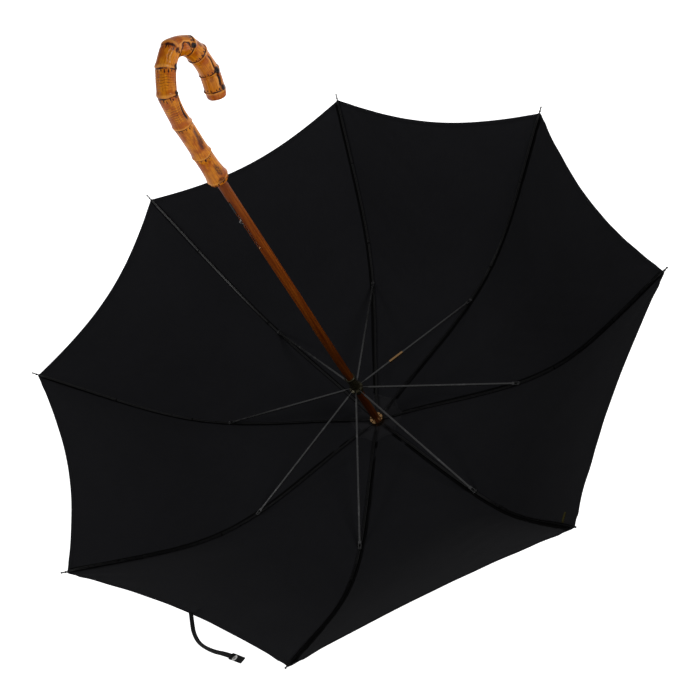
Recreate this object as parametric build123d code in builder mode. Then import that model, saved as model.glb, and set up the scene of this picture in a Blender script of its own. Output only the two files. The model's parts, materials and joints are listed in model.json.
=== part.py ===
"""Stick umbrella, open: whangee crook handle, wooden shaft, eight fluted ribs with stretchers."""

from build123d import *
from math import asin, atan2, cos, degrees, hypot, radians, sin, tan
import os

os.makedirs("parts", exist_ok=True)

# ---------------------------------------------------------------- driving dimensions (mm)
rib_count = 8
crown_z = -700.0  # handle-side face of the top notch; the origin is the middle of the grip
rib_pitch = 360 / rib_count
first_rib = rib_pitch / 2  # the crook lies in the XZ plane, half way between two ribs

shaft_radius = 7.0
spigot_radius = 5.0
shaft_top = crown_z + 637  # where the handle begins
tenon_length = 45.0  # shaft inside the handle
ferrule_end = crown_z - 76

pivot_radius = 9.8  # circle on which ribs and stretchers are strung
notch_pivot_z = crown_z - 6
joint_radius = 268.0
joint_z = crown_z + 50
runner_pivot_z = 2 * joint_z - notch_pivot_z  # equal arms make an isosceles linkage
wire_radius = 0.5
wire_play = 0.15
slot_width = 1.8
blade_width = 1.2  # flattened ends of ribs and stretchers

rib_width = 3.2
rib_depth = 2.6
stretcher_width = 3.0
stretcher_depth = 2.4
flute_wall = 0.5
pin_radius = 0.8
pin_play = 0.06

# rib centreline: radius, height above the crown, slope in degrees
rib_stations = [
    (135.0, 20.0, 12.5),
    (268.0, 50.0, 17.0),
    (329.0, 80.0, 33.0),
    (431.0, 178.0, 47.0),
    (520.0, 289.0, 52.0),
]
tip_radius = 526.0
tip_height = 297.0

cover_gap = 2.6  # rib centreline to the cover's inner face
cover_thickness = 0.5
seam_gap = 0.1
hem_depth = 28.0  # how far the hem is cut back at the middle of a gore
hem_prior = hypot(520 - 431, 289 - 178)  # last two rib stations, apart

arm_length = hypot(joint_radius - pivot_radius, joint_z - notch_pivot_z)
arm_slope = degrees(asin((joint_z - notch_pivot_z) / arm_length))


# ---------------------------------------------------------------- helpers
def radial_plane(azimuth, shift=0.0):
    """Upright plane through the axis: local x is the radius, local y is height (+Z)."""
    side = Vector(-sin(radians(azimuth)), cos(radians(azimuth)), 0)
    along = Vector(cos(radians(azimuth)), sin(radians(azimuth)), 0)
    return Plane(origin=side * shift, x_dir=along, z_dir=side * -1)


def save(part, name, azimuth=0.0):
    piece = part.rotate(Axis.Z, azimuth)
    piece.label = name
    export_step(piece, f"parts/{name}.step")


def rib_azimuth(number):
    return first_rib + (number - 1) * rib_pitch


def turned(points, name):
    """A ring turned about the axis from its half section, given as radius and height."""
    with BuildPart() as ring:
        with BuildSketch(Plane.XZ):
            with BuildLine():
                Polyline(*points, close=True)
            make_face()
        revolve(axis=Axis.Z)
    save(ring.part, name)


def cover_line(distance, share=1.0, trim=0.0):
    """Points of the cover's meridian, at a distance outside the ribs, cut back by trim."""
    points = []
    for radius, height, slope in rib_stations:
        out_radius = radius + distance * sin(radians(slope))
        out_height = height - distance * cos(radians(slope))
        points.append((out_radius * share, crown_z + out_height))
    (r1, z1), (r2, z2) = points[-2:]
    part_back = trim / hem_prior
    points[-1] = (r2 + (r1 - r2) * part_back, z2 + (z1 - z2) * part_back)
    return points


# ---------------------------------------------------------------- handle
crook_points = [
    (0, 637),
    (-1, 690),
    (-1, 738),
    (5, 781),
    (26, 804),
    (48, 811),
    (70, 794),
    (77, 773),
    (78, 744),
    (68, 713),
]
with BuildLine() as crook:
    Spline(*[(x, 0, crown_z + z) for x, z in crook_points])
crook_line = crook.edges()[0]
node_distances = [49, 100, 143, 174, 197, 227, 247, 277]  # joints of the cane, along it
cane_radius = 11.9
node_radius = 13.0
shoulder_radius = 12.3  # each side of a joint
shoulder_reach = 4
cane_length = crook_line.length
cane_sections = [(0, 14.0), (6, 14.3), (26, 12.7)]
for first, second in zip(node_distances, node_distances[1:] + [cane_length]):
    cane_sections.append((first - shoulder_reach, shoulder_radius))
    cane_sections.append((first, node_radius))
    cane_sections.append((first + shoulder_reach, shoulder_radius))
    cane_sections.append(((first + second) / 2, cane_radius))
cane_sections += [(cane_length - 8, 13.0), (cane_length, 11.8)]
with BuildPart() as handle:
    for distance, radius in cane_sections:
        share = distance / cane_length
        section = Plane(crook_line @ share, x_dir=(0, 1, 0), z_dir=crook_line % share)
        with BuildSketch(section):
            Circle(radius)
    loft()
    with BuildSketch(Plane.XY.offset(shaft_top)):
        Circle(spigot_radius)
    extrude(amount=tenon_length, mode=Mode.SUBTRACT)
    with BuildSketch(Plane.XY.offset(shaft_top)):
        Circle(shaft_radius)
    extrude(amount=-2, mode=Mode.SUBTRACT)
save(handle.part, "handle")

# ---------------------------------------------------------------- shaft
spring_slot_width = 2.2
spring_slot_floor = 0.4
hand_slot = (crown_z + 500, crown_z + 600)
top_slot = (crown_z + 110, crown_z + 162)
with BuildPart() as shaft:
    with BuildSketch(Plane.XY.offset(crown_z)):
        Circle(shaft_radius)
    extrude(amount=shaft_top - crown_z)
    with BuildSketch(Plane.XY.offset(ferrule_end + 6)):
        Circle(spigot_radius)
    extrude(amount=shaft_top + tenon_length - ferrule_end - 6)
    for low, high in (hand_slot, top_slot):
        with BuildSketch(Plane.XY.offset(low)):
            with Locations((-shaft_radius, 0)):
                Rectangle(2 * (shaft_radius - spring_slot_floor), spring_slot_width)
        extrude(amount=high - low, mode=Mode.SUBTRACT)
save(shaft.part, "shaft")

# ---------------------------------------------------------------- spring catches in the shaft
strip_outer = 6.4
strip_inner = 5.6
strip_width = 1.6


def spring(name, outline):
    """A flat spring standing in its slot, from its side outline of radius and height."""
    with BuildPart() as catch:
        with BuildSketch(Plane.XZ):
            with BuildLine():
                Polyline(*[(-r, crown_z + z) for r, z in outline], close=True)
            make_face()
        extrude(amount=strip_width / 2, both=True)
    save(catch.part, name)


spring(
    "top_spring",
    [
        (strip_inner, 113),
        (strip_inner, 159),
        (strip_outer, 159),
        (10.0, 144),
        (strip_outer, 144),
        (strip_outer, 113),
    ],
)
spring(
    "hand_spring",
    [
        (strip_inner, 504),
        (strip_inner, 574),
        (strip_outer, 574),
        (strip_outer, 564),
        (11.2, 563),
        (strip_outer, 549),
        (strip_outer, 504),
    ],
)

# brass cover that closes the far end of the hand spring's slot, and the pin at its near end
with BuildPart() as spring_box:
    with BuildSketch(Plane.XY.offset(crown_z + 578)):
        with Locations((-5.2, 0)):
            Rectangle(6.0, spring_slot_width)
    extrude(amount=21)
save(spring_box.part, "spring_box")

with BuildPart() as spring_pin:
    with BuildSketch(Plane.XZ):
        with Locations((-6.0, crown_z + 501.5)):
            Circle(0.8)
    extrude(amount=spring_slot_width / 2, both=True)
save(spring_pin.part, "spring_pin")

# ---------------------------------------------------------------- far end: ferrule, cap, rosettes
turned(
    [
        (spigot_radius, crown_z - 21.8),
        (7.4, crown_z - 21.8),
        (5.8, crown_z - 28),
        (5.8, crown_z - 73),
        (4.6, crown_z - 75.4),
        (3.0, ferrule_end),
        (0, ferrule_end),
        (0, ferrule_end + 6),
        (spigot_radius, ferrule_end + 6),
    ],
    "ferrule",
)
turned(
    [
        (spigot_radius, crown_z - 15.9),
        (11.0, crown_z - 15.9),
        (10.6, crown_z - 18.2),
        (8.2, crown_z - 20.8),
        (7.0, crown_z - 21.6),
        (spigot_radius, crown_z - 21.6),
    ],
    "crown_cap",
)
turned(
    [
        (spigot_radius, crown_z - 15.1),
        (13.0, crown_z - 15.1),
        (26.0, crown_z - 10.6),
        (26.0, crown_z - 11.2),
        (13.0, crown_z - 15.8),
        (spigot_radius, crown_z - 15.8),
    ],
    "outer_rosette",
)

rosette_sections = [(12.5, -13.1), (50.0, 0.2)]  # corner radius and height of its crown-side face
rosette_thickness = 0.6
with BuildPart() as inner_rosette:
    for lift, mode in ((0.0, Mode.ADD), (rosette_thickness, Mode.SUBTRACT)):
        for radius, height in rosette_sections:
            with BuildSketch(Plane.XY.offset(crown_z + height + lift)):
                RegularPolygon(radius, rib_count, rotation=first_rib)
        loft(mode=mode)
    with BuildSketch(Plane.XY.offset(crown_z + rosette_sections[0][1])):
        Circle(spigot_radius)
    extrude(amount=rosette_thickness, mode=Mode.SUBTRACT)
save(inner_rosette.part, "inner_rosette")


# ---------------------------------------------------------------- top notch and runner
def wire_ring(name, height):
    with BuildPart() as wire:
        with BuildSketch(Plane.XZ):
            with Locations((pivot_radius, height)):
                Circle(wire_radius)
        revolve(axis=Axis.Z)
    save(wire.part, name)


def string_slots(low, high, floor, wire_height):
    """What is cut from a collar: the radial slots, and the tunnel of the wire across them."""
    with BuildPart() as slots:
        with BuildSketch(Plane.XY.offset(low)):
            with PolarLocations(floor + 5, rib_count, start_angle=first_rib):
                Rectangle(10, slot_width)
        extrude(amount=high - low)
        with BuildSketch(Plane.XZ):
            with Locations((pivot_radius, wire_height)):
                Circle(wire_radius)
        revolve(axis=Axis.Z)
    return slots.part


notch_radius = 11.6
slot_floor = 8.35
with BuildPart() as top_notch:
    with BuildSketch(Plane.XY.offset(crown_z - 12)):
        Circle(notch_radius)
        Circle(spigot_radius, mode=Mode.SUBTRACT)
    extrude(amount=12)
    chamfer(top_notch.edges().filter_by(GeomType.CIRCLE).group_by(Axis.Z)[-1][-1], 0.8)
    add(string_slots(crown_z - 9.5, crown_z, slot_floor - 0.35, notch_pivot_z), mode=Mode.SUBTRACT)
save(top_notch.part, "top_notch")
wire_ring("notch_wire", notch_pivot_z)

runner_low = crown_z + 96
runner_high = crown_z + 142.5
runner_bore = shaft_radius + 0.1
runner_tube = 8.2
flange_half = 3.2
with BuildPart() as runner:
    with BuildSketch(Plane.XZ):
        with BuildLine():
            Polyline(
                (runner_bore, runner_low),
                (runner_tube, runner_low),
                (runner_tube, runner_pivot_z - flange_half),
                (11.8, runner_pivot_z - flange_half),
                (11.8, runner_pivot_z + flange_half),
                (runner_tube, runner_pivot_z + flange_half + 1.5),
                (runner_tube, runner_high - 4),
                (9.2, runner_high - 3.2),
                (9.2, runner_high - 0.8),
                (8.4, runner_high),
                (runner_bore, runner_high),
                close=True,
            )
        make_face()
    revolve(axis=Axis.Z)
    add(string_slots(runner_pivot_z - 5, runner_pivot_z + 6, slot_floor, runner_pivot_z), mode=Mode.SUBTRACT)
save(runner.part, "runner")
wire_ring("runner_wire", runner_pivot_z)

# ---------------------------------------------------------------- ribs
rib_start = Plane(
    origin=(pivot_radius, 0, notch_pivot_z),
    x_dir=(cos(radians(arm_slope)), 0, sin(radians(arm_slope))),
    z_dir=(0, -1, 0),
)
blade_points = [(-1.0, -1.1), (17, -1.1), (17, 1.1), (-1.0, 1.1)]
flute_start = (pivot_radius + 15 * cos(radians(arm_slope)), notch_pivot_z + 15 * sin(radians(arm_slope)))
rib_points = [flute_start] + [(r, crown_z + z) for r, z, slope in rib_stations]
with BuildPart() as rib:
    with BuildLine():
        flute_path = Spline(*[(r, 0, z) for r, z in rib_points])
    with BuildSketch(Plane(origin=flute_path @ 0, x_dir=(0, 1, 0), z_dir=flute_path % 0)):
        Rectangle(rib_width, rib_depth)
        with Locations((0, flute_wall)):
            Rectangle(rib_width - 2 * flute_wall, rib_depth, mode=Mode.SUBTRACT)
    sweep(path=flute_path)
    with BuildSketch(rib_start):
        with BuildLine():
            Polyline(*blade_points, close=True)
        make_face()
        Circle(1.5)
        Circle(wire_radius + wire_play, mode=Mode.SUBTRACT)
    extrude(amount=blade_width / 2, both=True)
    with BuildSketch(Plane.XZ):
        with Locations(Location((joint_radius, joint_z), rib_stations[1][2])):
            Rectangle(6, rib_depth)
        with Locations((joint_radius, joint_z)):
            Circle(pin_radius, mode=Mode.SUBTRACT)
    extrude(amount=rib_width / 2 - 0.2, both=True)
    with BuildSketch(Plane.XZ):
        with Locations((joint_radius, joint_z)):
            Circle(pin_radius)
    extrude(amount=rib_width, both=True, mode=Mode.SUBTRACT)
    tip_start = Vector(rib_stations[-1][0] - 7.4, 0, crown_z + rib_stations[-1][1] - 9.2)
    tip_end = Vector(tip_radius, 0, crown_z + tip_height)
    with BuildSketch(Plane(origin=tip_start, z_dir=tip_end - tip_start)):
        Circle(1.0)
    extrude(amount=(tip_end - tip_start).length)
    with Locations(tip_end):
        Sphere(1.5)

with BuildPart() as joint_pin:
    with BuildSketch(Plane.XZ):
        with Locations((joint_radius, joint_z)):
            Circle(pin_radius)
    extrude(amount=3.2, both=True)
    for side in (-1, 1):
        with BuildSketch(Plane.XZ.offset(side * 3.0)):
            with Locations((joint_radius, joint_z)):
                Circle(1.4)
        extrude(amount=side * 0.5)

# ---------------------------------------------------------------- stretchers
stretcher_plane = Plane(
    origin=(pivot_radius, 0, runner_pivot_z),
    x_dir=(cos(radians(arm_slope)), 0, -sin(radians(arm_slope))),
    z_dir=(0, 1, 0),
)  # local x runs to the rib's joint, local y faces the crown
ear_inner = rib_width / 2 + 0.2
ear_outer = ear_inner + 0.8
hook_outline = [
    (-1.25, 0.3),
    (-0.7, 0.3),
    (-0.7, -0.65),
    (2.5, -0.65),
    (7.5, 1.1),
    (13, 1.1),
    (13, -1.2),
    (3, -1.5),
    (-1.25, -1.5),
]
with BuildPart() as stretcher:
    with BuildSketch(stretcher_plane):
        with BuildLine():
            Polyline(*hook_outline, close=True)
        make_face()
    extrude(amount=blade_width / 2, both=True)
    with BuildSketch(stretcher_plane):
        with Locations(((11 + arm_length - 9) / 2, 0)):
            Rectangle(arm_length - 20, stretcher_depth)
    extrude(amount=stretcher_width / 2, both=True)
    with BuildSketch(stretcher_plane):
        with Locations(((14 + arm_length - 12) / 2, flute_wall)):
            Rectangle(arm_length - 26, stretcher_depth)
    extrude(amount=stretcher_width / 2 - flute_wall, both=True, mode=Mode.SUBTRACT)
    with BuildSketch(stretcher_plane):
        with Locations((arm_length - 9.5, 0)):
            Rectangle(4, stretcher_depth)
    extrude(amount=ear_outer, both=True)
    with BuildSketch(stretcher_plane):
        with Locations((arm_length - 5, 0)):
            Rectangle(10, stretcher_depth)
        with Locations((arm_length, 0)):
            Circle(2.0)
            Circle(pin_radius + pin_play, mode=Mode.SUBTRACT)
    extrude(amount=ear_outer, both=True)
    with BuildSketch(stretcher_plane):
        with Locations((arm_length - 2.25, 0)):
            Rectangle(10.5, 5)
    extrude(amount=ear_inner, both=True, mode=Mode.SUBTRACT)

# plain brass sleeve closed round one stretcher
with BuildPart() as sleeve:
    with BuildSketch(stretcher_plane):
        with Locations((82, -0.2)):
            Rectangle(30, stretcher_depth + 0.4)
    extrude(amount=stretcher_width / 2 + 0.4, both=True)
    with BuildSketch(stretcher_plane):
        with Locations((82, 0)):
            Rectangle(30, stretcher_depth)
    extrude(amount=stretcher_width / 2, both=True, mode=Mode.SUBTRACT)

for number in range(1, rib_count + 1):
    save(rib.part, f"rib_{number}", rib_azimuth(number))
    save(joint_pin.part, f"joint_pin_{number}", rib_azimuth(number))
    save(stretcher.part, f"stretcher_{number}", rib_azimuth(number))
save(sleeve.part, "stretcher_sleeve", rib_azimuth(rib_count))

# ---------------------------------------------------------------- cover: each gore in two halves
apex_radius = 6.5
apex_flat = 13.0
apex_height = crown_z - 13.8
eaves = (50.0, -0.4)  # cover's inner face at the inner rosette's rim: radius, height
half_pitch = rib_pitch / 2


def meridian(thickness, share, trim):
    """Inner or outer line of a cover section: flat at the apex, then down to the hem."""
    start = (apex_radius, apex_height - thickness)
    shoulder = (apex_flat, apex_height - thickness)
    rim = (eaves[0] * share, crown_z + eaves[1] - thickness)
    return start, [shoulder, rim] + cover_line(cover_gap + thickness, share, trim)


for side, turn in (("a", 1), ("b", -1)):
    with BuildPart() as half_gore:
        for angle in (0, half_pitch / 2, half_pitch):
            share = cos(radians(half_pitch)) / cos(radians(half_pitch - angle))
            across = angle / half_pitch
            trim = hem_depth * (1 - (1 - across) ** 2)
            shift = turn * seam_gap * (1 - 2 * across)
            with BuildSketch(radial_plane(turn * angle, shift)):
                with BuildLine():
                    inner_start, inner_points = meridian(0, share, trim)
                    outer_start, outer_points = meridian(cover_thickness, share, trim)
                    Line(inner_start, inner_points[0])
                    inner = Spline(*inner_points)
                    Line(inner @ 1, outer_points[-1])
                    Spline(*outer_points[::-1])
                    Line(outer_points[0], outer_start)
                    Line(outer_start, inner_start)
                make_face()
        loft(ruled=True)
    for number in range(1, rib_count + 1):
        gore = number if side == "a" else (number - 2) % rib_count + 1
        save(half_gore.part, f"gore_{gore}_{side}", rib_azimuth(number))

# plain sewn-in tab on the inside of a gore, beside a rib and near the hem
tab_size = (6.5, 15.0)
tab_thickness = 0.5
tab_station = 478.0  # radius of the rib's point level with the tab
tab_from_rib = 11.0
tab_rib = 6
panel_azimuth = rib_azimuth(tab_rib) + half_pitch
panel_plane = radial_plane(panel_azimuth)
panel_rise = (rib_stations[-1][1] - rib_stations[-2][1]) / (rib_stations[-1][0] - rib_stations[-2][0])
panel_slope = atan2(panel_rise, cos(radians(half_pitch)))
tab_radius = tab_station * cos(radians(half_pitch))
tab_height = crown_z + rib_stations[-2][1] + panel_rise * (tab_station - rib_stations[-2][0])
tab_across = tab_radius * tan(radians(half_pitch)) - tab_from_rib
panel_normal = panel_plane.x_dir * sin(panel_slope) + Vector(0, 0, -cos(panel_slope))
tab_centre = panel_plane.from_local_coords((tab_radius, tab_height, tab_across))
with BuildPart() as side_tab:
    tab_plane = Plane(
        origin=tab_centre + panel_normal * (cover_gap - tab_thickness - 1.1),
        x_dir=panel_plane.x_dir * cos(panel_slope) + Vector(0, 0, sin(panel_slope)),
        z_dir=panel_normal,
    )
    with BuildSketch(tab_plane):
        Rectangle(*tab_size)
    extrude(amount=tab_thickness)
save(side_tab.part, "side_tab")

# ---------------------------------------------------------------- tie strap, hanging from a hem
strap_azimuth = 182.0
strap_width = 8.0
strap_thickness = 1.2
strap_route = [
    (468.2, 266.4),
    (475.5, 256.0),
    (486.5, 240.0),
    (494.0, 214.0),
    (491.5, 172.0),
    (484.5, 138.0),
    (479.0, 86.0),
]
strap_plane = radial_plane(strap_azimuth)
strap_corners = [strap_plane.from_local_coords((r, crown_z + z, 0)) for r, z in strap_route]
strap_radii = []
for before, corner, after in zip(strap_corners, strap_corners[1:], strap_corners[2:]):
    run = min((corner - before).length, (after - corner).length)
    bend = (corner - before).get_angle(after - corner)
    strap_radii.append(0.45 * run / tan(radians(bend / 2)))
print("strap arc radii", [round(r) for r in strap_radii])
with BuildPart() as tie_strap:
    with BuildLine():
        strap_path = FilletPolyline(*strap_corners, radius=strap_radii)
    with BuildSketch(Plane(origin=strap_path @ 0, x_dir=strap_plane.z_dir, z_dir=strap_path % 0)):
        Rectangle(strap_width, strap_thickness)
    sweep(path=strap_path)
print("strap length", round(strap_path.length, 1))
save(tie_strap.part, "tie_strap")

snap_low, snap_high = strap_corners[-1], strap_corners[-2]
snap_way = snap_high - snap_low
snap_out = strap_plane.z_dir.cross(snap_way).normalized()
snap_centre = snap_low + snap_way * 0.55 + snap_out * (strap_thickness / 2 + 0.05)
with BuildPart() as strap_snap:
    with BuildSketch(Plane(origin=snap_centre, z_dir=snap_out)):
        Circle(5.0)
    extrude(amount=1.0)
    with BuildSketch(Plane(origin=snap_centre + snap_out, z_dir=snap_out)):
        Circle(2.6)
    extrude(amount=1.4)
save(strap_snap.part, "strap_snap")
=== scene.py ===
"""Stick umbrella, open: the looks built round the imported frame."""

import json
import math

import bpy
import numpy as np
from mathutils import Matrix, Vector


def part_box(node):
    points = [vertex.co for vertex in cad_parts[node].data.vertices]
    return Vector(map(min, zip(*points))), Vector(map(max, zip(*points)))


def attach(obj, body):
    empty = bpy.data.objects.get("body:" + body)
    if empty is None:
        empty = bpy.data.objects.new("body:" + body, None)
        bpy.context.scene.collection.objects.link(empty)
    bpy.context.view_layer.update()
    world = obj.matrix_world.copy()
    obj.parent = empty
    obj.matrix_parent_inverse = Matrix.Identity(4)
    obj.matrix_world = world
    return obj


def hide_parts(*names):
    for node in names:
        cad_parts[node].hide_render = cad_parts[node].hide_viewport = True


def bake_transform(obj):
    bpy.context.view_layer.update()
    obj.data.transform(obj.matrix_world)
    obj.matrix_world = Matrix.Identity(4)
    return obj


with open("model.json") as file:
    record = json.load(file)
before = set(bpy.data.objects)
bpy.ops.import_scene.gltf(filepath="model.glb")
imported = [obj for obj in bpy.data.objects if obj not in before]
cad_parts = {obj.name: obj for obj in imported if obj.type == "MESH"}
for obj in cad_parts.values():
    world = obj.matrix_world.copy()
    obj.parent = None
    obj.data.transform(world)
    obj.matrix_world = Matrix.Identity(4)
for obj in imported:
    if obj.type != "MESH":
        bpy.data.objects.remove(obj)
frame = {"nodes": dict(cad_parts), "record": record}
scene = bpy.context.scene
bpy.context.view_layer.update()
MM = 0.001

# ---- driving dimensions (metres)
rib_count = 8
pitch = 2 * math.pi / rib_count
first_rib = pitch / 2
crown_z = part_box("top_notch")[1].z
floor_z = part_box("ferrule")[0].z
notch_pivot = np.array([9.8, -6.0]) * MM  # radius, height above the crown
rib_bow = np.array([[135, 20], [268, 50], [329, 80], [431, 178], [520, 289]]) * MM
rib_slopes = np.radians([12.5, 17, 33, 47, 52])
cover_gap = 2.6 * MM  # rib centreline to the inside of the cover
cover_thickness = 0.5 * MM
hem_depth = 28 * MM
hem_width = 7 * MM
stitch_pitch = 3.1 * MM
thread_radius = 0.28 * MM
seed = 20


# ---- small maths
def smooth_line(corners, count):
    """Natural cubic spline through points, spaced by chord length, as count points."""
    p = np.array(corners, float)
    t = np.concatenate([[0], np.cumsum(np.linalg.norm(np.diff(p, axis=0), axis=1))])
    t /= t[-1]
    h = np.diff(t)
    n = len(p)
    a = np.eye(n)
    b = np.zeros_like(p)
    for i in range(1, n - 1):
        a[i, i - 1 : i + 2] = h[i - 1], 2 * (h[i - 1] + h[i]), h[i]
        b[i] = 6 * ((p[i + 1] - p[i]) / h[i] - (p[i] - p[i - 1]) / h[i - 1])
    m = np.linalg.solve(a, b)
    at = np.linspace(0, 1, count)
    i = np.clip(np.searchsorted(t, at, side="right") - 1, 0, n - 2)
    span = h[i][:, None]
    x = (at - t[i])[:, None]
    y = span - x
    curve = (m[i] * y**3 + m[i + 1] * x**3) / (6 * span)
    curve += (p[i] / span - m[i] * span / 6) * y
    return curve + (p[i + 1] / span - m[i + 1] * span / 6) * x


def lengths(line):
    """Distance along a line of points, from its first one."""
    return np.concatenate([[0], np.cumsum(np.linalg.norm(np.diff(line, axis=0), axis=1))])


def at_lengths(line, wanted):
    """Points of a line at the wanted distances along it."""
    run = lengths(line)
    return np.stack([np.interp(wanted, run, line[:, k]) for k in range(line.shape[1])], axis=1)


def closed_loop(line):
    return np.concatenate([line, line[:1]])


def unit(v):
    return v / np.maximum(np.linalg.norm(v, axis=-1, keepdims=True), 1e-12)


def bump(x, width):
    return np.exp(-((x / width) ** 2))


def step_up(x, softness):
    """A soft step from 0 to 1 as x passes 0."""
    return 1 / (1 + np.exp(np.clip(-x / softness, -60, 60)))


def whole_turn(count):
    """Equally spaced angles, once round."""
    return np.arange(count) * 2 * math.pi / count


def radial(azimuth):
    return np.array([math.cos(azimuth), math.sin(azimuth), 0.0])


def tangential(azimuth):
    return np.array([-math.sin(azimuth), math.cos(azimuth), 0.0])


def rib_azimuth(number):
    return first_rib + (number - 1) * pitch


def lifted(profile, azimuth):
    """Points (radius, height above the crown) set out in the upright plane of an azimuth."""
    out = profile[:, :1] * radial(azimuth)
    out[:, 2] = crown_z + profile[:, 1]
    return out


# ---- meshes
def mesh_object(name, points, faces, look, sharp=()):
    """A smooth-shaded object, with a hard edge between sharp vertices."""
    mesh = bpy.data.meshes.new(name)
    mesh.from_pydata(np.asarray(points).tolist(), [], [tuple(map(int, f)) for f in faces])
    mesh.update()
    mesh.polygons.foreach_set("use_smooth", [True] * len(mesh.polygons))
    if len(sharp):
        hard = np.zeros(len(mesh.vertices), bool)
        hard[list(sharp)] = True
        ends = np.zeros(len(mesh.edges) * 2, np.int32)
        mesh.edges.foreach_get("vertices", ends)
        ends = ends.reshape(-1, 2)
        edge_mark = mesh.attributes.new("sharp_edge", "BOOLEAN", "EDGE")
        edge_mark.data.foreach_set("value", hard[ends[:, 0]] & hard[ends[:, 1]])
    mesh.materials.append(materials[look])
    piece = bpy.data.objects.new(name, mesh)
    scene.collection.objects.link(piece)
    return piece


def set_marks(piece, name, values, kind="FLOAT_VECTOR"):
    """A named vector, or number, at each vertex."""
    marks = piece.data.attributes.new(name, kind, "POINT")
    key = "vector" if kind == "FLOAT_VECTOR" else "value"
    marks.data.foreach_set(key, np.asarray(values, np.float32).ravel())


def set_weave(piece, flat, layers=2):
    """Weave coordinates from a sheet's flat grid, the same on each of its layers."""
    cloth = np.concatenate([flat, 0 * flat[..., :1]], axis=-1).reshape(-1, 3)
    set_marks(piece, "cloth", np.concatenate([cloth] * layers))


def grid_faces(index, flip=False):
    """Quads of a grid of vertex numbers."""
    quads = np.stack([index[:-1, :-1], index[:-1, 1:], index[1:, 1:], index[1:, :-1]], axis=-1)
    quads = quads.reshape(-1, 4)
    return quads[:, ::-1] if flip else quads


def ring_faces(rows, sides, flip=False):
    """Quads between rings of points that follow one another, and a cap at both ends."""
    index = np.arange(rows * sides).reshape(rows, sides)
    whole = np.concatenate([index, index[:, :1]], axis=1)
    caps = [index[0], index[-1][::-1]] if flip else [index[0][::-1], index[-1]]
    return [tuple(face) for face in [*grid_faces(whole, flip), *caps]]


def thin_shell(under, over, ring=False):
    """A closed thin sheet between two grids of points: its points, quads and rim vertices."""
    rows, columns = under.shape[:2]
    count = rows * columns
    points = np.concatenate([under.reshape(-1, 3), over.reshape(-1, 3)])
    index = np.arange(count).reshape(rows, columns)
    loops = [[*index[0], *index[1:, -1], *index[-1, -2::-1], *index[-2:0:-1, 0], index[0, 0]]]
    if ring:
        index = np.concatenate([index, index[:, :1]], axis=1)
        loops = [[*index[0]], [*index[-1][::-1]]]
    faces = [*grid_faces(index), *grid_faces(index + count, flip=True)]
    rim = []
    for loop in loops:
        faces += [(b, a, a + count, b + count) for a, b in zip(loop, loop[1:])]
        rim += loop
    return points, faces, rim + [v + count for v in rim]


def across_frame(line):
    """Tangent, and two directions across a line of points, carried along without twist."""
    along = unit(np.gradient(line, axis=0))
    side = np.zeros_like(line)
    start = np.cross(along[0], [0.0, 0.0, 1.0])
    if np.linalg.norm(start) < 0.2:
        start = np.cross(along[0], [1.0, 0.0, 0.0])
    side[0] = unit(start)
    for i in range(1, len(line)):
        side[i] = unit(side[i - 1] - along[i] * (side[i - 1] @ along[i]))
    return along, side, np.cross(along, side)


def tube_parts(line, radius, sides=6):
    """A closed tube along a line of points; radius is one number or one for each point."""
    _, side, other = across_frame(line)
    turn = whole_turn(sides)
    rim = side[:, None] * np.cos(turn)[:, None] + other[:, None] * np.sin(turn)[:, None]
    radius = np.broadcast_to(radius, len(line))[:, None, None]
    rings = line[:, None] + rim * radius
    return rings.reshape(-1, 3), ring_faces(len(line), sides, flip=True)


def joined(parts):
    """Several (points, faces) as one."""
    points, faces, start = [], [], 0
    for part_points, part_faces in parts:
        points.append(part_points)
        faces += [tuple(start + v for v in f) for f in part_faces]
        start += len(part_points)
    return np.concatenate(points), faces


def stitch_row(line, pitch_along=stitch_pitch, radius=thread_radius):
    """A row of raised stitches along a line of points."""
    total = lengths(line)[-1]
    count = max(1, int(total / pitch_along))
    taper = np.array([0.35, 1.0, 1.0, 0.35]) * radius
    parts = []
    for k in range(count):
        middle = (k + 0.5) * total / count
        reach = 0.7 * total / count / 2
        steps = middle + reach * np.array([-1, -0.55, 0.55, 1])
        parts.append(tube_parts(at_lengths(line, steps), taper))
    return joined(parts)


def sewn(name, parts, body=None):
    """Thread parts as one piece, riding on a body where one is given."""
    points, faces = parts
    piece = mesh_object(name, points, faces, "black_thread")
    set_marks(piece, "cloth", points)
    if body:
        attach(piece, body)
    return piece


def turned_parts(profile, sides=64):
    """A closed body of revolution about local Z from (radius, height) rings, top first."""
    turn = whole_turn(sides)
    circle = np.stack([np.cos(turn), np.sin(turn)], axis=1)
    points = [np.concatenate([circle * r, np.full((sides, 1), z)], axis=1) for r, z in profile]
    return np.concatenate(points), ring_faces(len(profile), sides, flip=True)


# ---- materials
def shader(name, **sockets):
    """A material and its node tree, with its Principled sockets set."""
    made = bpy.data.materials.new(name)
    made.use_nodes = True
    surface(made.node_tree, **sockets)
    return made, made.node_tree


def add(tree, kind, settings=None, **sockets):
    """A new node, with settings, and its inputs set or linked."""
    made = tree.nodes.new("ShaderNode" + kind)
    for key, value in (settings or {}).items():
        setattr(made, key, value)
    for key, value in sockets.items():
        link(tree, value, made.inputs[key.replace("_", " ")])
    return made


def link(tree, value, socket):
    """Joins an output to a socket, or sets its value; a colour is given without alpha."""
    if isinstance(value, bpy.types.NodeSocket):
        tree.links.new(value, socket)
    else:
        socket.default_value = (*value, 1) if socket.type == "RGBA" else value


def sums(tree, operation, first, second=0.0):
    made = add(tree, "Math", {"operation": operation})
    link(tree, first, made.inputs[0])
    link(tree, second, made.inputs[1])
    return made.outputs[0]


def mixed(tree, share, first, second):
    """A colour between two colours."""
    made = add(tree, "Mix", {"data_type": "RGBA"})
    for value, place in ((share, 0), (first, 6), (second, 7)):
        link(tree, value, made.inputs[place])
    return made.outputs[2]


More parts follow.
